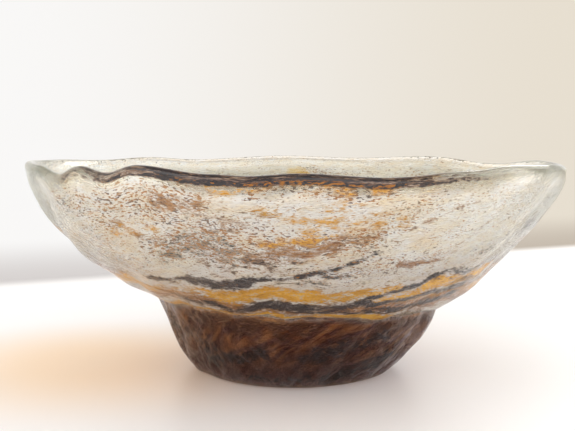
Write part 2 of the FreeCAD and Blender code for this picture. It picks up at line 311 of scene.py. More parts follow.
def body_faces(rows):
    """Four-sided faces between the rows, and a fan of triangles that closes each end."""
    columns = np.arange(STEPS_ROUND)
    faces = []
    for row in range(rows - 1):
        a = row * STEPS_ROUND + columns
        b = row * STEPS_ROUND + np.roll(columns, -1)
        faces += np.stack([a, b, b + STEPS_ROUND, a + STEPS_ROUND], -1).tolist()
    bottom = rows * STEPS_ROUND
    top = bottom + 1
    last = (rows - 1) * STEPS_ROUND
    for column in range(STEPS_ROUND):
        after = (column + 1) % STEPS_ROUND
        faces.append([bottom, after, column])
        faces.append([top, last + column, last + after])
    return faces


# Where the pebbled relief calms down under the lip, and how places are counted on from the lip to the inside
LIP_CALM = 0.75
LIP_CALM_START = 0.012
LIP_CALM_LENGTH = 0.008
INSIDE_START = 0.002
INSIDE_STEP = 0.003
WELL_END = 0.3

# Angles at which the dashes and the broad swirls climb the wall
FLOW_CLIMBS = (("dash", 90.0), ("swirl", 30.0))

# Milkiness of the wall: its strength, its start and end in millimetres up the flare, and the clear ends
MILK = 0.60
MILK_START = 4
MILK_START_FADE = 6
MILK_END = 84
MILK_END_FADE = 5
CLEAR_ENDS = (-10, -170)
CLEARNESS = 0.9
CLEAR_END_REACH = math.radians(28)

# Colour of the underside and of the foot's lowest part, and painted shade on the lip at the front: a dark
# band of brown and smoke
FOOT_FADE = 3
FOOT_TINT = 0.9
FOOT_TINT_REACH = 0.009
FOOT_SMOKE = 0.7
# The dark band on the front of the lip is painted shade, laid as brown and smoke
LIP_SHADE = 0.9
LIP_SHADE_MIDDLE = -96
LIP_SHADE_REACH = 60
LIP_SHADE_FADE = 45
LIP_SHADE_SMOKE = 0.9

# Strokes of colour in the skin: degrees round and millimetres up the flare at each end, half width, strength
AMBER, SMOKE, BROWN = range(3)
STROKE_SOFTNESS = 1.45
STROKES = {
    AMBER: (
        (-124, 7, -100, 5, 2.0, 0.9), (-100, 5, -82, 4, 1.8, 1.0), (-82, 4, -58, 7, 1.8, 0.75),
        (-112, 24, -84, 25, 5.2, 0.88), (-84, 25, -66, 31, 4.2, 0.8), (-56, 31, -34, 37, 3.6, 1.0),
        (-97, 56, -84, 64, 2.2, 0.62), (-87, 64, -80, 80, 5.5, 0.54), (-104, 84, -72, 84, 3.0, 0.52),
        (-80, 72, -72, 66, 5.0, 0.46), (-96, 72, -88, 70, 4.0, 0.45), (-128, 60, -116, 66, 3.0, 0.45),
    ),
    SMOKE: (
        (-124, 15, -102, 14, 2.6, 0.8), (-102, 14, -86, 15, 4.0, 1.0), (-86, 15, -70, 22, 3.2, 0.9),
        (-72, 26, -54, 36, 1.8, 0.9), (-54, 36, -40, 42, 1.4, 0.7), (-70, 20, -40, 29, 2.4, 0.8),
        (-84, 11, -60, 13, 2.4, 0.8), (-60, 13, -38, 22, 2.6, 0.8), (-128, 34, -112, 34, 2.0, 0.8),
        (-114, 34, -102, 34, 3.6, 1.0), (-102, 34, -94, 36, 1.8, 0.8), (-94, 36, -86, 42, 1.4, 0.8),
        (-86, 42, -74, 52, 1.4, 0.75), (-86, 40, -78, 41, 2.0, 0.6), (-106, 46, -90, 48, 4.0, 0.42),
        (-117, 52, -104, 56, 6.5, 0.45), (-46, 48, -34, 64, 1.6, 0.42), (-84, -22, -54, -9, 4.5, 0.85),
        # The smoke stroke from -160 to -128 degrees, at -14 to -18 millimetres, is painted shade that
        # darkens the left of the foot, where the light falls on it
        (-132, -26, -104, -20, 4.0, 0.8), (-160, -14, -128, -18, 7.0, 0.6), (-74, -36, -46, -24, 4.5, 0.8),
        (-118, -37, -84, -34, 3.5, 0.6), (20, -26, 60, -14, 4.5, 0.6), (110, -18, 150, -30, 4.5, 0.6),
    ),
    BROWN: (
        (-134, 20, -108, 16, 7.0, 0.9), (-110, 12, -80, 12, 8.0, 0.8), (-80, 14, -32, 22, 9.0, 0.9),
        (-108, 45, -92, 46, 5.0, 0.45), (-99, 47, -83, 60, 5.5, 0.62), (-84, 60, -74, 60, 3.0, 0.5),
        (-115, 76, -107, 74, 4.0, 0.48), (-105, 66, -97, 70, 4.5, 0.45), (-126, 64, -119, 58, 3.0, 0.5),
        (-66, 46, -56, 50, 2.4, 0.6), (-62, 50, -48, 66, 1.4, 0.45), (-72, 60, -56, 78, 1.4, 0.45),
    ),
}

# Bands of colour right round the shoulder: kind, millimetres up the flare, half width, strength, seed
BANDS = (
    (BROWN, -4, 7.0, 1.0, 101), (AMBER, 6.5, 4.5, 0.8, 102), (SMOKE, 15, 5.0, 0.55, 103),
    (BROWN, 19, 7.0, 0.6, 104), (AMBER, 25, 6.5, 0.75, 105), (SMOKE, 34, 3.5, 0.4, 106),
)
BAND_STRENGTH = 0.8
BAND_PATCHINESS = 0.3
BAND_WAVES = (12, (0.04, 0.16), 90, 3)

# Specks, partly amber flecks of the glass and partly painted refraction of the brown foot and the amber: the
# few that are all over the upper wall, and clusters written like strokes
SPECKS = 0.16
SPECKS_START = 34
SPECKS_FADE = 10
SPECK_CLUSTERS = (
    (-118, 54, -102, 56, 8, 1.0), (-98, 55, -78, 60, 8, 0.9), (-126, 74, -108, 76, 8, 0.9),
    (-112, 66, -98, 62, 7, 0.8), (-140, 78, -126, 66, 7, 0.7), (-96, 84, -74, 84, 5, 0.9),
    (-76, 62, -66, 76, 6, 0.5), (-90, 40, -60, 50, 6, 0.6), (-136, 50, -126, 44, 8, 0.5),
)

# How the painted edges wander: millimetres up and down, twice, and then radians sideways
DRIFTS = (
    (1.0, (91, 24, (0.016, 0.050), 60, 30)),
    (0.25, (92, 30, (0.004, 0.010), 60, 40)),
)
SIDE_DRIFT = 0.015
SIDE_DRIFT_WAVES = (93, 24, (0.010, 0.030), 20, 40)

# Random strokes and specks on the side that the photo doesn't show
FAR_SIDE = (-28, 225)
FAR_SEED = 77
FAR_STROKES = 70
FAR_HEIGHTS = (6, 13, 14, 22, 24, 30, 35, 46, 56)
FAR_HEIGHT_SPREAD = (0, 2)
FAR_TURN = (8, 26)
FAR_RISE = (2, 3)
FAR_STRENGTH = (0.5, 0.95)
FAR_WIDTH = (2, 4.5)
FAR_SPECKS = 22
FAR_SPECK_HEIGHTS = (44, 72)
FAR_SPECK_STRENGTH = (0.4, 0.8)
FAR_SPECK_RISE = (0, 5)
FAR_SPECK_TURN = 10
FAR_SPECK_WIDTH = 8


def stroke_mask(turn, up, start, low, end, high, width):
    """How near each place is to a stroke between two places: 1 on it, and 0 past its soft half width."""
    girth = CREASE_RADIUS / MILLIMETRE + FLARE_WIDENING * up
    across = round_gap(turn, start) * girth
    reach = math.radians((end - start + 180) % 360 - 180) * girth
    rise = high - low
    share = np.clip((across * reach + (up - low) * rise) / (reach**2 + rise**2), 0, 1)
    far = (across - share * reach) ** 2 + (up - low - share * rise) ** 2
    return np.clip(1 - far / (STROKE_SOFTNESS * width) ** 2, 0, 1)


def lay(stains_and_shade, kind, mask):
    stains_and_shade[..., kind] = np.maximum(stains_and_shade[..., kind], mask)


def paint_bands(stains_and_shade, turn, up):
    for kind, middle, width, strength, seed in BANDS:
        patchy = BAND_STRENGTH + BAND_PATCHINESS * waves(seed, *BAND_WAVES, turn, 0 * up)
        lay(stains_and_shade, kind, strength * patchy * np.clip(1 - ((up - middle) / width) ** 2, 0, 1))


def paint_far_side(stains_and_shade, specks, turn, up):
    """Strokes and specks at random, like those of the front. Gives back how thickly the wall is specked."""
    draw = np.random.default_rng(FAR_SEED)
    for _ in range(FAR_STROKES):
        start = draw.uniform(*FAR_SIDE)
        low = draw.choice(FAR_HEIGHTS) + draw.normal(*FAR_HEIGHT_SPREAD)
        end = start + draw.uniform(*FAR_TURN)
        high = low + draw.normal(*FAR_RISE)
        kind = int(draw.choice([AMBER, SMOKE, BROWN]))
        strength = draw.uniform(*FAR_STRENGTH)
        width = draw.uniform(*FAR_WIDTH)
        lay(stains_and_shade, kind, strength * stroke_mask(turn, up, start, low, end, high, width))
    for _ in range(FAR_SPECKS):
        start = draw.uniform(*FAR_SIDE)
        low = draw.uniform(*FAR_SPECK_HEIGHTS)
        strength = draw.uniform(*FAR_SPECK_STRENGTH)
        high = low + draw.normal(*FAR_SPECK_RISE)
        mask = stroke_mask(turn, up, start, low, start + FAR_SPECK_TURN, high, FAR_SPECK_WIDTH)
        specks = np.maximum(specks, strength * mask)
    return specks


def paint(turn, up):
    """The strengths of amber, smoke and brown at each place outside, and how thickly it is specked."""
    stains_and_shade = np.zeros(up.shape + (3,))
    specks = SPECKS * smooth_step((up - SPECKS_START) / SPECKS_FADE)
    along = up * MILLIMETRE
    for size, shape in DRIFTS:
        up = up + size * waves(*shape, turn, along)
    turn = turn + SIDE_DRIFT * waves(*SIDE_DRIFT_WAVES, turn, along)
    paint_bands(stains_and_shade, turn, up)
    for kind, strokes in STROKES.items():
        for *stroke, strength in strokes:
            lay(stains_and_shade, kind, strength * stroke_mask(turn, up, *stroke))
    for *cluster, strength in SPECK_CLUSTERS:
        specks = np.maximum(specks, strength * stroke_mask(turn, up, *cluster))
    specks = paint_far_side(stains_and_shade, specks, turn, up)
    return stains_and_shade, specks


def paint_stains_and_shade(turn, along, up, rows, outside):
    """The stain colours and specks of the whole skin: the outside and the underside, and painted shade on
    the front of the lip.
    """
    stains_and_shade = np.zeros((rows, STEPS_ROUND, 3))
    specks = np.zeros((rows, STEPS_ROUND))
    stains_and_shade[outside], specks[outside] = paint(turn, up)
    lay(stains_and_shade[outside], BROWN, FOOT_TINT * np.clip(1 - along[:, None] / FOOT_TINT_REACH, 0, 1))
    stains_and_shade[:outside.start, :, BROWN] = FOOT_TINT
    stains_and_shade[:outside.start, :, SMOKE] = FOOT_SMOKE * FOOT_TINT
    # Painted shade: the front of the lip is darkened with brown and smoke from just under it to a little
    # past its top
    lip = slice(outside.stop - 2, outside.stop + STEPS_LIP // 2 + 1)
    from_middle = np.abs(np.degrees(round_gap(turn, LIP_SHADE_MIDDLE)))
    front = LIP_SHADE * smooth_step((LIP_SHADE_REACH - from_middle) / LIP_SHADE_FADE)
    lay(stains_and_shade[lip], BROWN, front)
    lay(stains_and_shade[lip], SMOKE, LIP_SHADE_SMOKE * front)
    return stains_and_shade, specks


def milkiness(turn, up):
    """How milky the outside is: less towards the two ends of the bowl, and 0 on the foot and the lip."""
    end = np.minimum(*(np.abs(round_gap(turn, degrees)) for degrees in CLEAR_ENDS))
    clear_end = 1 - CLEARNESS * np.exp(-((end / CLEAR_END_REACH) ** 2))
    starting = smooth_step((up - MILK_START) / MILK_START_FADE)
    ending = smooth_step((MILK_END - up) / MILK_END_FADE)
    return MILK * clear_end * starting * ending


def flow(turn, place, climb):
    """Places on a drum that is sheared by the angle, so that a noise stretched up it climbs the wall."""
    sheared = turn - place / (MEAN_RADIUS * math.tan(math.radians(climb)))
    return np.stack([MEAN_RADIUS * np.cos(sheared), MEAN_RADIUS * np.sin(sheared), place], -1)


def add_attribute(piece, name, values, ends=(0, 0)):
    """A number or a vector at each place of the skin, and then at the middles of its underside and well."""
    kind, field = ("FLOAT_VECTOR", "vector") if values.ndim == 3 else ("FLOAT", "value")
    attribute = piece.data.attributes.new(name, kind, "POINT")
    attribute.data.foreach_set(field, np.append(values, ends).astype(np.float32))


def glass_body():
    """The whole bowl as one closed skin, with what its material needs to know at each place."""
    points, outside = profile()
    rows = len(points)
    turn = np.linspace(0, 2 * np.pi, STEPS_ROUND, endpoint=False)[None, :]
    along = distances(points[outside])
    up = np.broadcast_to((along[:, None] - along[STEPS_FOOT]) / MILLIMETRE, (len(along), STEPS_ROUND))
    piece = mesh_object("glass_body", body_grid(points, outside, along, turn), body_faces(rows))

    rippled, place, level, foot, milk = np.zeros((5, rows, STEPS_ROUND))
    under_lip = (along[:, None] - along[-1] + LIP_CALM_START) / LIP_CALM_LENGTH
    rippled[outside] = 1 - LIP_CALM * smooth_step(under_lip)
    place[outside] = along[:, None]
    place[outside.stop:] = along[-1] + INSIDE_START + np.arange(rows - outside.stop)[:, None] * INSIDE_STEP
    level[outside] = along[:, None]
    foot[:outside.start] = 1
    foot[outside] = smooth_step(-up / FOOT_FADE)
    milk[outside] = milkiness(turn, up)
    stains_and_shade, specks = paint_stains_and_shade(turn, along, up, rows, outside)

    for name, climb in FLOW_CLIMBS:
        add_attribute(piece, name, flow(turn, place, climb), ((0, 0, 0), (0, 0, WELL_END)))
    add_attribute(piece, "outside", rippled)
    add_attribute(piece, "level", level)
    add_attribute(piece, "foot", foot, (1, 0))
    add_attribute(piece, "milk", milk)
    add_attribute(piece, "stains_and_shade", stains_and_shade, np.zeros((2, 3)))
    add_attribute(piece, "specks", specks)
    return piece


class Nodes:
    """Short calls that add and link the nodes of one material or world."""

    def __init__(self, owner):
        owner.use_nodes = True
        self.tree = owner.node_tree
        self.tree.nodes.clear()

    def add(self, kind, inputs=(), **settings):
        node = self.tree.nodes.new(kind)
        for key, value in settings.items():
            setattr(node, key, value)
        for key, value in dict(inputs).items():
            if isinstance(value, bpy.types.NodeSocket):
                self.tree.links.new(value, node.inputs[key])
            else:
                node.inputs[key].default_value = value
        return node

    def attribute(self, name, output="Fac"):
        return self.add("ShaderNodeAttribute", attribute_name=name).outputs[output]

    def math(self, operation, a, b=0.0, c=0.0):
        return self.add("ShaderNodeMath", {0: a, 1: b, 2: c}, operation=operation).outputs[0]

    def vector_math(self, operation, a, b=(0.0, 0.0, 0.0)):
        return self.add("ShaderNodeVectorMath", {0: a, 1: b}, operation=operation).outputs

    def part(self, vector, axis):
        return self.add("ShaderNodeSeparateXYZ", {0: vector}).outputs[axis]

    def noise(self, place, stretch, detail, roughness):
        stretched = self.vector_math("MULTIPLY", place, stretch)[0]
        inputs = {"Vector": stretched, "Scale": 1.0, "Detail": detail, "Roughness": roughness}
        return self.add("ShaderNodeTexNoise", inputs).outputs["Fac"]

    def ramp(self, value, low, high):
        inputs = {"Value": value, "From Min": low, "From Max": high}
        return self.add("ShaderNodeMapRange", inputs, interpolation_type="SMOOTHSTEP").outputs["Result"]

    def mix(self, factor, a, b, **settings):
        """A blend of two colours, whose sockets come after those for numbers and vectors."""
        return self.add("ShaderNodeMix", {0: factor, 6: a, 7: b}, data_type="RGBA", **settings).outputs[2]

    def bump(self, height, distance, strength, normal=None):
        inputs = {"Height": height, "Distance": distance, "Strength": strength}
        if normal is not None:
            inputs["Normal"] = normal
        return self.add("ShaderNodeBump", inputs).outputs["Normal"]


def colour(red, green, blue):
    return (red, green, blue, 1.0)


# Noises of the skin: how much finer than a metre each is along x, y and z, its detail and its roughness
DASHES = ((620.0, 620.0, 1400.0), 2.0, 0.55)
CRUMBS = ((150.0, 150.0, 330.0), 4.0, 0.65)
DRIFT_CLOUDS = ((60.0, 60.0, 110.0), 3.0, 0.6)
SWIRLS = ((130.0, 130.0, 90.0), 3.0, 0.5)
ROUGH_PATCHES = ((78.0, 78.0, 54.0), 2.0, 0.5)
STREAK_CLOUDS = ((60.0, 60.0, 240.0), 4.0, 0.6)

# Soft steps that turn a noise into a mask: where each starts and ends
DRIFT_STEP = (0.40, 0.62)
ROUGH_STEP = (0.35, 0.65)
GRAIN_STEP = (0.33, 0.47)
PALE_STEP = (0.40, 0.60)
PEBBLE_REFRACTION_STEP = (0.38, 0.62)
RAGGED_DASH_STEP = (0.3, 0.7)
RAGGED_CRUMB_STEP = (0.35, 0.65)
MOTTLE_STEP = (0.42, 0.64)
STAIN_AND_SHADE_STEP = (-0.25, 0.95)
SPECK_STEP = (0.67, 0.73)
SPECK_DARK_STEP = (0.48, 0.62)
FOOT_CLOUD_STEP = (0.36, 0.62)
STREAK_STEP = (0.38, 0.62)

# Shares of the noises that are mixed
PEBBLE_REFRACTION_DRIFT = 1.25
PEBBLE_REFRACTION_LEAST = 0.25
RAGGED_DASHES = 0.7
MOTTLE_GRAIN = 0.45
MOTTLE_CRUMBS = 0.65
MILK_PATCHINESS = 0.25
DASH_PATCHINESS = 0.5

# Depths in metres and strengths of the three reliefs of the skin
SWIRL_BUMP = (0.002, 0.15)
CRUMB_BUMP = (0.0016, 0.7)
DASH_BUMP = 0.0022

# Tints of the skin. The stains and the painted shade of the lip and of the foot's left are laid in the order
# of STAIN_AND_SHADE_TINTS, each as a light and a deep tint.
WHITE = colour(1.0, 1.0, 1.0)
PALE_TINT = colour(1.0, 0.99, 0.96)
CREAM_TINT = colour(1.0, 0.92, 0.78)
# The pebble tints are painted refraction: the brown foot and the amber, seen bent through the pits of the
# skin
PEBBLE_REFRACTION_TINT = colour(0.58, 0.33, 0.12)
PEBBLE_REFRACTION_DARK = colour(0.11, 0.065, 0.05)
FOOT_TINT_LOW = colour(0.30, 0.09, 0.07)
FOOT_TINT_HIGH = colour(1.0, 0.40, 0.11)
FOOT_GLOSS = colour(0.42, 0.26, 0.24)
AMBER_TINT = colour(0.95, 0.52, 0.05)
AMBER_DEEP = colour(0.55, 0.22, 0.015)
BROWN_TINT = colour(0.50, 0.22, 0.06)
BROWN_DEEP = colour(0.13, 0.05, 0.025)
SMOKE_TINT = colour(0.065, 0.052, 0.056)
SMOKE_DEEP = colour(0.008, 0.008, 0.010)
STAIN_AND_SHADE_TINTS = (
    (BROWN, BROWN_TINT, BROWN_DEEP), (AMBER, AMBER_TINT, AMBER_DEEP), (SMOKE, SMOKE_TINT, SMOKE_DEEP),
)
# The speck tints are partly amber flecks of the glass and partly painted refraction of the brown foot and
# the amber
SPECK_AND_REFRACTION_TINT = colour(0.42, 0.15, 0.015)
SPECK_AND_REFRACTION_DARK = colour(0.06, 0.022, 0.014)

# The foot's clouds of lighter colour: heights between which they come in, and how milky they are
FOOT_CLOUDS_LOW = 0.009
FOOT_CLOUDS_HIGH = 0.031
FOOT_MILK = 0.13

# How milky a stain or painted shade is, how strongly its mask beats the noise at its edge, and how strongly
# specks show, which are partly painted refraction
STAIN_AND_SHADE_MILK = 0.75
STAIN_AND_SHADE_PULL = 2.2
SPECK_PULL = 0.20
SPECK_STRENGTH = 0.9

# The clear glass itself: its gloss, its bending of light, and the faint green that it takes on in depth
GLASS_ROUGHNESS = 0.03
GLASS_IOR = 1.5
GLASS_GREEN = colour(0.12, 0.38, 0.0)
GLASS_DEPTH = 9.0

# Coloured glass: what it lets through in depth, how dense it is, and the tint of its streaks
STREAK_PALE = colour(1.0, 0.99, 0.97)
COLOURED_GLASS = {
    "brown_glass": (colour(0.52, 0.17, 0.0), 48.0, colour(0.75, 0.50, 0.36)),
    "amber_glass": (colour(0.95, 0.70, 0.0), 330.0, colour(0.95, 0.72, 0.30)),
    "smoke_glass": (colour(0.0, 0.02, 0.10), 300.0, colour(0.70, 0.70, 0.74)),
}


def skin_noises(nodes):
    """The noises that the skin's colour and its relief share."""
    dash = nodes.attribute("dash", "Vector")
    swirl = nodes.attribute("swirl", "Vector")
    return SimpleNamespace(
        dashes=nodes.noise(dash, *DASHES),
        crumbs=nodes.noise(dash, *CRUMBS),
        drifts=nodes.ramp(nodes.noise(dash, *DRIFT_CLOUDS), *DRIFT_STEP),
        swirls=nodes.noise(swirl, *SWIRLS),
        rough=nodes.ramp(nodes.noise(swirl, *ROUGH_PATCHES), *ROUGH_STEP),
    )


def wall_tint(nodes, noises, grain):
    """Pale and cream glass, and where it is milky, small dark and golden pebbles of painted refraction: the
    brown foot and the amber seen bent through the pits.
    """
    crumbs = noises.crumbs
    rough_skin = nodes.math("MULTIPLY_ADD", noises.drifts, PEBBLE_REFRACTION_DRIFT, PEBBLE_REFRACTION_LEAST)
    rough_skin = nodes.math("MULTIPLY", nodes.attribute("milk"), rough_skin)
    pebble_refraction_share = nodes.math("MULTIPLY", rough_skin, nodes.math("SUBTRACT", 1.0, grain))
    pale = nodes.mix(nodes.ramp(crumbs, *PALE_STEP), CREAM_TINT, PALE_TINT)
    pebble_refraction = nodes.mix(nodes.ramp(crumbs, *PEBBLE_REFRACTION_STEP), PEBBLE_REFRACTION_DARK, PEBBLE_REFRACTION_TINT)
    return nodes.mix(pebble_refraction_share, pale, pebble_refraction)


def add_stain_and_shade_tints(nodes, noises, grain, tint):
    """Lay the ragged brown, amber and smoke, which are stain colours and painted shade, over a tint. Gives
    the tint and how much of it is covered.
    """
    crumbs = noises.crumbs
    ragged = nodes.ramp(crumbs, *RAGGED_CRUMB_STEP)
    ragged = nodes.math("MULTIPLY_ADD", nodes.ramp(noises.dashes, *RAGGED_DASH_STEP), RAGGED_DASHES, ragged)
    against = nodes.math("MULTIPLY", ragged, -1.0)
    mottle = nodes.math("MULTIPLY", nodes.ramp(crumbs, *MOTTLE_STEP), MOTTLE_CRUMBS)
    mottle = nodes.math("MULTIPLY_ADD", grain, MOTTLE_GRAIN, mottle)
    stains_and_shade = nodes.attribute("stains_and_shade", "Vector")
    covered = 0.0
    for kind, light_tint, deep_tint in STAIN_AND_SHADE_TINTS:
        amount = nodes.math("MULTIPLY_ADD", nodes.part(stains_and_shade, kind), STAIN_AND_SHADE_PULL, against)
        amount = nodes.ramp(amount, *STAIN_AND_SHADE_STEP)
        tint = nodes.mix(amount, tint, nodes.mix(mottle, deep_tint, light_tint))
        covered = nodes.math("MAXIMUM", amount, covered)
    return tint, covered


def add_speck_and_refraction_tints(nodes, noises, tint):
    """Lay the golden and dark specks, partly painted refraction of the brown foot and the amber, over a
    tint.
    """
    amount = nodes.math("MULTIPLY_ADD", nodes.attribute("specks"), SPECK_PULL, noises.dashes)
    amount = nodes.math("MULTIPLY", nodes.ramp(amount, *SPECK_STEP), SPECK_STRENGTH)
    speck_and_refraction_tint = nodes.mix(nodes.ramp(noises.crumbs, *SPECK_DARK_STEP), SPECK_AND_REFRACTION_TINT, SPECK_AND_REFRACTION_DARK)
    return nodes.mix(amount, tint, speck_and_refraction_tint)


def skin_milk(nodes, noises, covered, foot, cloudy):
    """How much of the skin scatters light: the milky wall, its stain colours and painted shade, and a little
    in the foot's clouds.
    """
    patchy = nodes.math("MULTIPLY_ADD", noises.rough, MILK_PATCHINESS, 1 - MILK_PATCHINESS)
    milk = nodes.math("MULTIPLY", nodes.attribute("milk"), patchy)
    milk = nodes.math("MAXIMUM", milk, nodes.math("MULTIPLY", covered, STAIN_AND_SHADE_MILK))
    milk = nodes.math("MULTIPLY", milk, nodes.math("SUBTRACT", 1.0, foot))
    return nodes.math("MULTIPLY_ADD", nodes.math("MULTIPLY", foot, cloudy), FOOT_MILK, milk)


def skin_relief(nodes, noises):
    """The small relief of the skin, from broad swirls to fine dashes."""
    outside = nodes.attribute("outside")
    normal = None
    for height, (distance, strength) in ((noises.swirls, SWIRL_BUMP), (noises.crumbs, CRUMB_BUMP)):
        normal = nodes.bump(height, distance, nodes.math("MULTIPLY", outside, strength), normal)
    patchy = nodes.math("MULTIPLY_ADD", noises.rough, DASH_PATCHINESS, 1 - DASH_PATCHINESS)
    return nodes.bump(noises.dashes, DASH_BUMP, nodes.math("MULTIPLY", outside, patchy), normal)


def absorbing(nodes, shader, tint, density):
    """Finish a glass: its surface, and what it absorbs in depth."""
    volume = nodes.add("ShaderNodeVolumeAbsorption", {"Color": tint, "Density": density})
    nodes.add("ShaderNodeOutputMaterial", {"Surface": shader.outputs[0], "Volume": volume.outputs[0]})


def clear_glass():
    """Clear glass with a pebbled, milky skin, and streaks and specks of colour in it."""
    material = bpy.data.materials.new("clear_glass")
    nodes = Nodes(material)
    noises = skin_noises(nodes)
    grain = nodes.ramp(noises.dashes, *GRAIN_STEP)
    foot = nodes.attribute("foot")
    up_foot = nodes.ramp(nodes.attribute("level"), FOOT_CLOUDS_LOW, FOOT_CLOUDS_HIGH)
    cloudy = nodes.math("MULTIPLY", nodes.ramp(noises.swirls, *FOOT_CLOUD_STEP), up_foot)
    foot_tint = nodes.mix(cloudy, FOOT_TINT_LOW, FOOT_TINT_HIGH)
    tint = nodes.mix(foot, wall_tint(nodes, noises, grain), foot_tint)
    tint, covered = add_stain_and_shade_tints(nodes, noises, grain, tint)
    tint = add_speck_and_refraction_tints(nodes, noises, tint)
    milk = skin_milk(nodes, noises, covered, foot, cloudy)
    shader = nodes.add("ShaderNodeBsdfPrincipled", {
        "Base Color": tint,
        "Roughness": GLASS_ROUGHNESS,
        "IOR": GLASS_IOR,
        "Transmission Weight": nodes.math("SUBTRACT", 1.0, milk),
        "Normal": skin_relief(nodes, noises),
        "Specular Tint": nodes.mix(foot, WHITE, FOOT_GLOSS),
    })
    absorbing(nodes, shader, GLASS_GREEN, GLASS_DEPTH)
    return material


def coloured_glass(name, tint, density, streak):
    """Coloured glass inside the body. It only absorbs, as light meets no edge between fused glasses."""
    material = bpy.data.materials.new(name)
    nodes = Nodes(material)
    cloud = nodes.noise(nodes.add("ShaderNodeTexCoord").outputs["Object"], *STREAK_CLOUDS)
    shader = nodes.add("ShaderNodeBsdfPrincipled", {
        "Base Color": nodes.mix(nodes.ramp(cloud, *STREAK_STEP), streak, STREAK_PALE),
        "Roughness": 0.0,
        "IOR": 1.0,
        "Transmission Weight": 1.0,
    })
    absorbing(nodes, shader, tint, density)
    return material


# The coloured lenses: the step between their rows, their soft ends, their least thickness and their most
LENS_STEP = 0.0012
LENS_EDGE = 3 * LENS_STEP
LENS_LEAST = 0.00004
LENS_LIMIT = 0.42

# Flecks in the wall: degrees round, millimetres up the flare, half length, half width, tilt, thickness
AMBER_PATCHES = (
    (-118, 72, 7, 3, -35, 1.6), (-127, 56, 9, 4, 30, 1.5), (-104, 76, 9, 3, -15, 1.4),
    (-70, 76, 12, 6, 20, 2.2), (-78, 64, 10, 6, 50, 2.0), (-62, 60, 9, 4, 35, 1.6),
    (-82, 46, 17, 6, 12, 2.6), (-98, 58, 7, 4, 25, 1.5), (-36, 58, 8, 3, 40, 1.4),
    (8, 64, 12, 5, 30, 2.0), (48, 56, 11, 5, -25, 1.8), (86, 70, 14, 6, 35, 2.0),
    (132, 58, 10, 5, -30, 1.8), (172, 66, 10, 5, 30, 1.8), (-150, 50, 9, 4, 25, 1.2),
)
SMOKE_PATCHES = (
    (-108, 46, 13, 4, 8, 1.2), (-92, 41, 12, 4, 14, 1.4), (-70, 42, 12, 2.5, 22, 1.2),
    (-60, 47, 8, 2, 25, 1.0), (24, 46, 12, 4, 16, 1.2), (104, 44, 13, 4, 12, 1.2),
    (150, 46, 10, 3.5, 18, 1.2),
)
PATCH_WAVES = (30, (0.010, 0.024), -10, 40)
PATCH_EVENNESS = 0.4

# How the layers wander, how grainy they are and how they fade in places
WANDER_WAVES = (8, (0.06, 0.20), 90, 3)
GRAIN_WAVES = (30, (0.006, 0.020), 12, 12)
PRESENCE_WAVES = (10, (0.05, 0.20), 90, 3)
GRAININESS = 0.45
FADING = 0.45
PRESENCE_MIDDLE = 0.5


def flecks(patches, share, rough, seed):
    """The thickness of a set of ragged lenses, as a function of the turn and the distance up the flare."""
    def thickness(turn, up):
        uneven = np.maximum(1 + rough * waves(seed, *PATCH_WAVES, turn, up), PATCH_EVENNESS)
        total = np.zeros(np.broadcast(turn, up).shape)
        for degrees, middle, half_length, half_width, tilt, thick in patches:
            lean = math.radians(tilt)
            across = round_gap(turn, degrees) * (CREASE_RADIUS + FLARE_WIDENING * middle * MILLIMETRE)
            rise = up - middle * MILLIMETRE
            a = (across * math.cos(lean) + rise * math.sin(lean)) / (half_length * MILLIMETRE)
            b = (rise * math.cos(lean) - across * math.sin(lean)) / (half_width * MILLIMETRE)
            total = np.maximum(total, thick * MILLIMETRE * (1 - (a * a + b * b) * uneven))
        return share * total
    return thickness


def layer(middle, wander, width, thick, seed, presence):
    """The thickness of a band that runs round the bowl, wandering up and down and fading in places."""
    def thickness(turn, up):
        centre = (middle + wander * waves(seed, *WANDER_WAVES, turn, 0 * up)) * MILLIMETRE
        grain = waves(seed + 1, *GRAIN_WAVES, turn, up)
        fading = FADING * waves(seed + 2, *PRESENCE_WAVES, turn, 0 * up)
        there = smooth_step(presence + PRESENCE_MIDDLE + fading)
        spread = ((up - centre) / (width * MILLIMETRE)) ** 2
        return thick * MILLIMETRE * there * (1 - spread) * (1 + GRAININESS * grain)
    return thickness


def lens_faces(half):
    """Faces of the two sides of closed lenses, which share their points where there is no thickness."""
    outer = np.arange(half.size).reshape(half.shape)
    inner = np.where(half > 0, outer + half.size, outer)
    sides = []
    for index in (outer, inner):
        after = np.roll(index, -1, 1)
        sides.append(np.stack([index[:-1], after[:-1], after[1:], index[1:]], -1).reshape(-1, 4))
    there = (half.ravel()[sides[0]] > 0).any(1)
    return np.vstack([sides[0][there], sides[1][there][:, ::-1]])


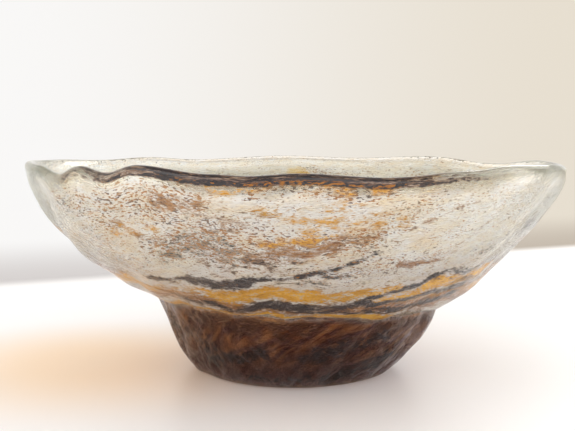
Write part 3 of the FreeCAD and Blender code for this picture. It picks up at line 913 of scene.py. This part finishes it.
def lenses(name, low, high, depth, thickness):
    """Closed lenses of coloured glass in the wall, between two distances up the flare from the crease.

    The depth is a share of the wall, and the thickness is a function of the turn and that distance. Where it
    is nothing there is no glass, and the two faces of each lens meet all round its edge.
    """
    shares = np.linspace(0, 1, CURVE_SAMPLES)
    up = np.linspace(low, high, int((high - low) / LENS_STEP) + 1)[:, None]
    turn = np.linspace(0, 2 * np.pi, STEPS_ROUND, endpoint=False)[None, :]
    share = np.interp(up[:, 0], distances(flare_point(shares)), shares)
    wall = wall_thickness(share)[:, None]
    edge = smooth_step((up - low) / LENS_EDGE) * smooth_step((high - up) / LENS_EDGE)
    half = np.minimum(thickness(turn, up) * edge, LENS_LIMIT * wall) / 2
    half[half < LENS_LEAST] = 0
    inner = inward(direction(flare_point, share))
    sides = []
    for side in (-1, 1):
        deep = depth * wall + side * half
        points = flare_point(share)[:, None, :] + deep[..., None] * inner[:, None, :]
        sides.append(warp(points[..., 0], points[..., 1], turn).reshape(-1, 3))
    points = np.vstack(sides)
    faces = lens_faces(half)
    used = np.unique(faces)
    place = np.full(len(points), -1)
    place[used] = np.arange(len(used))
    return mesh_object(name, points[used], place[faces].tolist())


def add_lenses(glasses):
    """The coloured layers and flecks, each in the place of the solid that it stands for.

    Each row is the node, the lowest and highest place up the flare, the depth in the wall, the thickness and
    the kind of glass.
    """
    makers = (
        ("amber_line", 0.006, 0.018, 0.62, layer(12.0, 0.8, 3.5, 1.6, 31, 0.5), "amber_glass"),
        ("smoke_band", 0.012, 0.028, 0.66, layer(19.5, 1.6, 5.0, 1.0, 41, 0.1), "smoke_glass"),
        ("amber_band", 0.020, 0.038, 0.60, layer(29.0, 1.6, 6.0, 2.0, 51, 0.5), "amber_glass"),
        ("smoke_edge", 0.030, 0.046, 0.68, layer(38.0, 1.6, 4.0, 0.8, 61, 0.0), "smoke_glass"),
        ("amber_flecks", 0.030, 0.084, 0.55, flecks(AMBER_PATCHES, 0.5, 0.5, 21), "amber_glass"),
        ("smoke_flecks", 0.030, 0.070, 0.40, flecks(SMOKE_PATCHES, 0.4, 0.8, 23), "smoke_glass"),
    )
    for name, low, high, depth, thickness, slot in makers:
        piece = lenses(name + "_glass", low, high, depth, thickness)
        piece.data.materials.append(glasses[slot])
        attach(piece, "root")
        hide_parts(name)


def dress_masses():
    """The coloured glass: the cup as its solid has it, and lenses in place of the layers and flecks."""
    glasses = {name: coloured_glass(name, *look) for name, look in COLOURED_GLASS.items()}
    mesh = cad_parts["brown_cup"].data
    mesh.materials.clear()
    mesh.materials.append(glasses["brown_glass"])
    add_lenses(glasses)


def dress_casing():
    """The clear glass body, in place of the casing."""
    body = glass_body()
    body.data.materials.append(clear_glass())
    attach(body, "root")
    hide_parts("clear_casing")


# The plain background: its colours to the left and the right as seen, and all round as glass sees it
BACKGROUND_LEFT = colour(0.95, 0.94, 0.93)
BACKGROUND_RIGHT = colour(0.80, 0.735, 0.63)
BACKGROUND_TURN = 0.32
BACKGROUND = colour(0.95, 0.93, 0.90)
CEILING = colour(0.22, 0.20, 0.18)
CEILING_START = 0.50
CEILING_END = 0.95
ROOM_LIGHT = colour(1.1, 1.085, 1.07)

# The stage floor: half its size, its colour and gloss, how much it glows, and the warm light on its left
STAGE_SIZE = 20.0
STAGE_TONE = colour(0.77, 0.75, 0.745)
STAGE_ROUGHNESS = 0.35
STAGE_LIFT = 0.15
GLOW_TONE = colour(0.80, 0.60, 0.41)
GLOW_PLACE = (-0.10, 0.0, 0.0)
GLOW_START = 0.02
GLOW_REACH = 0.12

# The floor's far edge: how far behind the bowl it is, its turn, its softness, and the shade behind it
STAGE_REACH = 0.31
STAGE_TURN = math.radians(25.6)
STAGE_SIDES = 0.9
STAGE_EDGE = 0.02
FAR_SHADE = colour(0.72, 0.69, 0.68)
FAR_REACH = 0.62


def backdrop_tone(nodes, bearing):
    """The plain background's colour in a direction: nearly white on the left, and warmer to the right."""
    sideways = nodes.ramp(nodes.part(bearing, "X"), -BACKGROUND_TURN, BACKGROUND_TURN)
    return nodes.mix(sideways, BACKGROUND_LEFT, BACKGROUND_RIGHT)


def stage_shader(nodes, place):
    """A pale, slightly glossy floor with a patch of warm light."""
    aside = nodes.vector_math("DISTANCE", place, GLOW_PLACE)["Value"]
    tone = nodes.mix(nodes.ramp(aside, GLOW_START, GLOW_REACH), GLOW_TONE, STAGE_TONE)
    return nodes.add("ShaderNodeBsdfPrincipled", {
        "Base Color": tone,
        "Roughness": STAGE_ROUGHNESS,
        "Emission Color": tone,
        "Emission Strength": STAGE_LIFT,
    })


def floor_material():
    """The pale floor, which gives way to the plain background some way behind the bowl."""
    material = bpy.data.materials.new("floor")
    nodes = Nodes(material)
    place = nodes.add("ShaderNodeTexCoord").outputs["Object"]
    distance = nodes.vector_math("LENGTH", place)["Value"]
    across = (-math.sin(STAGE_TURN), math.cos(STAGE_TURN), 0)
    behind = nodes.vector_math("DOT_PRODUCT", place, across)["Value"]
    behind = nodes.math("MAXIMUM", behind, nodes.math("SUBTRACT", distance, STAGE_SIDES))
    beyond = backdrop_tone(nodes, nodes.vector_math("NORMALIZE", place)[0])
    shade = nodes.mix(1.0, beyond, FAR_SHADE, blend_type="MULTIPLY")
    far = nodes.mix(nodes.ramp(behind, STAGE_REACH, FAR_REACH), shade, beyond)
    plain = nodes.add("ShaderNodeEmission", {"Color": far, "Strength": 1.0})
    mixed = nodes.add("ShaderNodeMixShader", {
        0: nodes.ramp(behind, STAGE_REACH - STAGE_EDGE, STAGE_REACH + STAGE_EDGE),
        1: stage_shader(nodes, place).outputs[0],
        2: plain.outputs[0],
    })
    nodes.add("ShaderNodeOutputMaterial", {"Surface": mixed.outputs[0]})
    return material


def add_floor():
    corners = np.array([[-1, -1, 0], [1, -1, 0], [1, 1, 0], [-1, 1, 0]]) * STAGE_SIZE
    floor = mesh_object("floor", corners, [[0, 1, 2, 3]])
    floor.data.materials.append(floor_material())


def add_world():
    """A pale background all round as it is seen, with a darker ceiling for what glass mirrors and bends."""
    world = bpy.data.worlds.new("studio")
    bpy.context.scene.world = world
    nodes = Nodes(world)
    bearing = nodes.add("ShaderNodeTexCoord").outputs["Generated"]
    above = nodes.mix(nodes.ramp(nodes.part(bearing, "Z"), CEILING_START, CEILING_END), BACKGROUND, CEILING)
    path = nodes.add("ShaderNodeLightPath").outputs
    through = nodes.math("MAXIMUM", path["Is Glossy Ray"], path["Is Transmission Ray"])
    # Only light that has met no dull surface yet sees the background: the rest gets the plain light
    through = nodes.math("MULTIPLY", through, nodes.math("LESS_THAN", path["Diffuse Depth"], 0.5))
    tone = nodes.mix(through, ROOM_LIGHT, above)
    tone = nodes.mix(path["Is Camera Ray"], tone, backdrop_tone(nodes, bearing))
    background = nodes.add("ShaderNodeBackground", {"Color": tone, "Strength": 1.0})
    nodes.add("ShaderNodeOutputWorld", {"Surface": background.outputs[0]})


# Lamps: name, place, size across in metres, power in watts, tint
LAMP_AIM = Vector((0, 0, 0.05))
LAMPS = (
    ("key", (-0.9, -0.7, 1.0), 0.9, 3.0, (1.0, 1.0, 1.0)),
    ("back", (0.7, 1.1, 0.8), 0.5, 3.0, (1.0, 0.97, 0.92)),
    ("window", (0.9, 0.3, 0.65), 0.7, 2.0, (1.0, 1.0, 1.0)),
    ("fill", (0.5, -1.1, 0.7), 0.9, 2.0, (1.0, 1.0, 1.0)),
)


def add_lamps():
    for name, place, size, power, tint in LAMPS:
        lamp = bpy.data.objects.new(name, bpy.data.lights.new(name, "AREA"))
        bpy.context.collection.objects.link(lamp)
        lamp.data.size = size
        lamp.data.energy = power
        lamp.data.color = tint
        lamp.location = place
        lamp.rotation_euler = (LAMP_AIM - Vector(place)).to_track_quat("-Z", "Y").to_euler()


# How many times light is followed through and off the glass
THROUGH_BOUNCES = 28
TRANSPARENT_BOUNCES = 32
GLOSSY_BOUNCES = 8

scene = bpy.context.scene
scene.view_settings.view_transform = "Standard"
scene.cycles.max_bounces = THROUGH_BOUNCES
scene.cycles.transmission_bounces = THROUGH_BOUNCES
scene.cycles.transparent_max_bounces = TRANSPARENT_BOUNCES
scene.cycles.glossy_bounces = GLOSSY_BOUNCES

add_world()
add_floor()
add_lamps()
dress_casing()
dress_masses()
